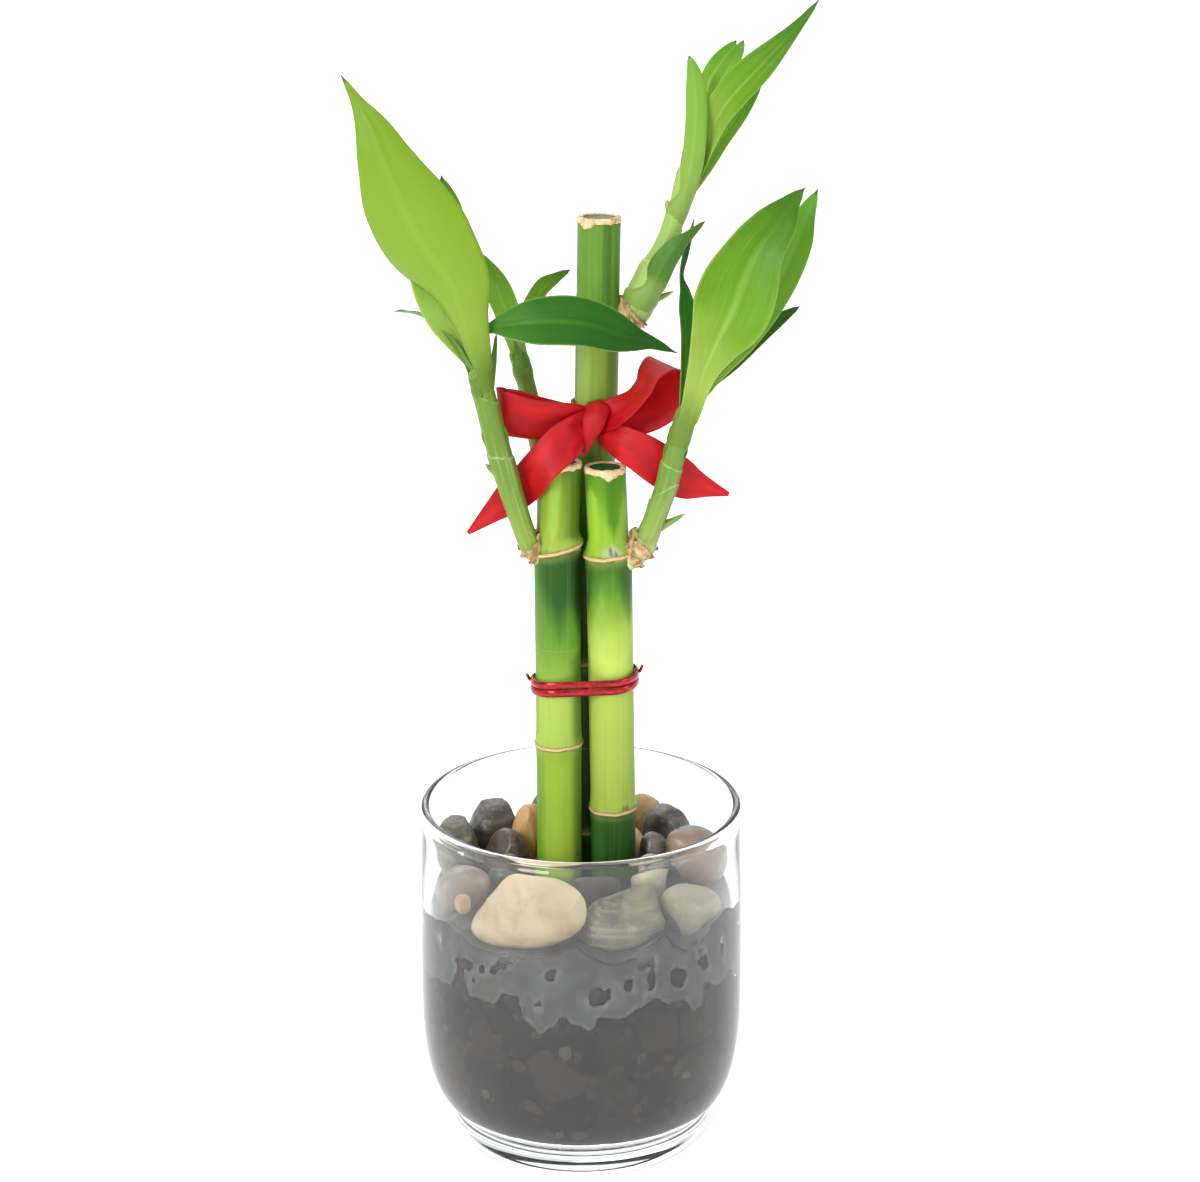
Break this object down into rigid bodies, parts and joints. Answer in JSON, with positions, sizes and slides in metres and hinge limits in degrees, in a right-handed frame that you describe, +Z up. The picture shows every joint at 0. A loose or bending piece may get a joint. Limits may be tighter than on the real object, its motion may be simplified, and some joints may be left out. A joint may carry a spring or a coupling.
{
  "type": "lucky bamboo plant",
  "caption": "Leafy cut bamboo canes held by a wire tie and a satin ribbon bow, standing in gravel, set binder and rounded pebbles in a clear glass tumbler.",
  "frame": {"origin": "centre of the tumbler's flat underside, on the surface that it stands on", "axes": "+X to the right of the front view, +Y to the back, +Z up along the canes"},
  "size_m": [0.1155, 0.0858, 0.2986],
  "materials": {
    "glass": "gloss",
    "gravel": "matte",
    "binder": "satin",
    "cane": "satin",
    "cut_wax": "satin",
    "shoot": "satin",
    "leaf": "satin",
    "leaf_dark": "satin",
    "satin": "satin",
    "red_wire": "gloss",
    "stone_cream": "satin",
    "stone_beige": "satin",
    "stone_tan": "satin",
    "stone_pink": "satin",
    "stone_grey_green": "satin",
    "stone_slate": "satin",
    "stone_brown": "satin"
  },
  "bodies": {
    "root": {"glass_tumbler": "glass", "gravel_bed": "gravel", "binder_layer": "binder", "pebble_01": "stone_cream", "pebble_02": "stone_grey_green", "pebble_03": "stone_beige", "pebble_04": "stone_pink", "pebble_05": "stone_slate", "pebble_06": "stone_slate", "pebble_07": "stone_tan", "pebble_08": "stone_cream", "pebble_09": "stone_brown", "pebble_10": "stone_beige", "pebble_11": "stone_grey_green", "pebble_12": "stone_slate", "pebble_13": "stone_brown", "pebble_14": "stone_tan", "pebble_15": "stone_pink", "pebble_16": "stone_tan", "pebble_17": "stone_slate", "pebble_18": "stone_slate", "pebble_19": "stone_grey_green", "pebble_20": "stone_brown", "pebble_21": "stone_beige", "pebble_22": "stone_slate", "cane_left": "cane", "cane_right": "cane", "cane_rear": "cane", "wax_seal_left": "cut_wax", "wax_seal_right": "cut_wax", "wax_seal_rear": "cut_wax", "shoot_left": "shoot", "shoot_right": "shoot", "shoot_top": "shoot", "shoot_back": "shoot", "leaf_left_1": "leaf", "leaf_left_2": "leaf", "leaf_left_3": "leaf", "leaf_left_4": "leaf_dark", "leaf_left_5": "leaf", "leaf_back_1": "leaf", "leaf_back_2": "leaf", "leaf_right_1": "leaf_dark", "leaf_right_2": "leaf", "leaf_right_3": "leaf", "leaf_right_4": "leaf", "leaf_top_1": "leaf", "leaf_top_2": "leaf", "leaf_top_3": "leaf", "leaf_top_4": "leaf", "leaf_top_5": "leaf", "leaf_top_6": "leaf", "ribbon_bow": "satin", "wire_tie": "red_wire"}
  },
  "joints": []
}
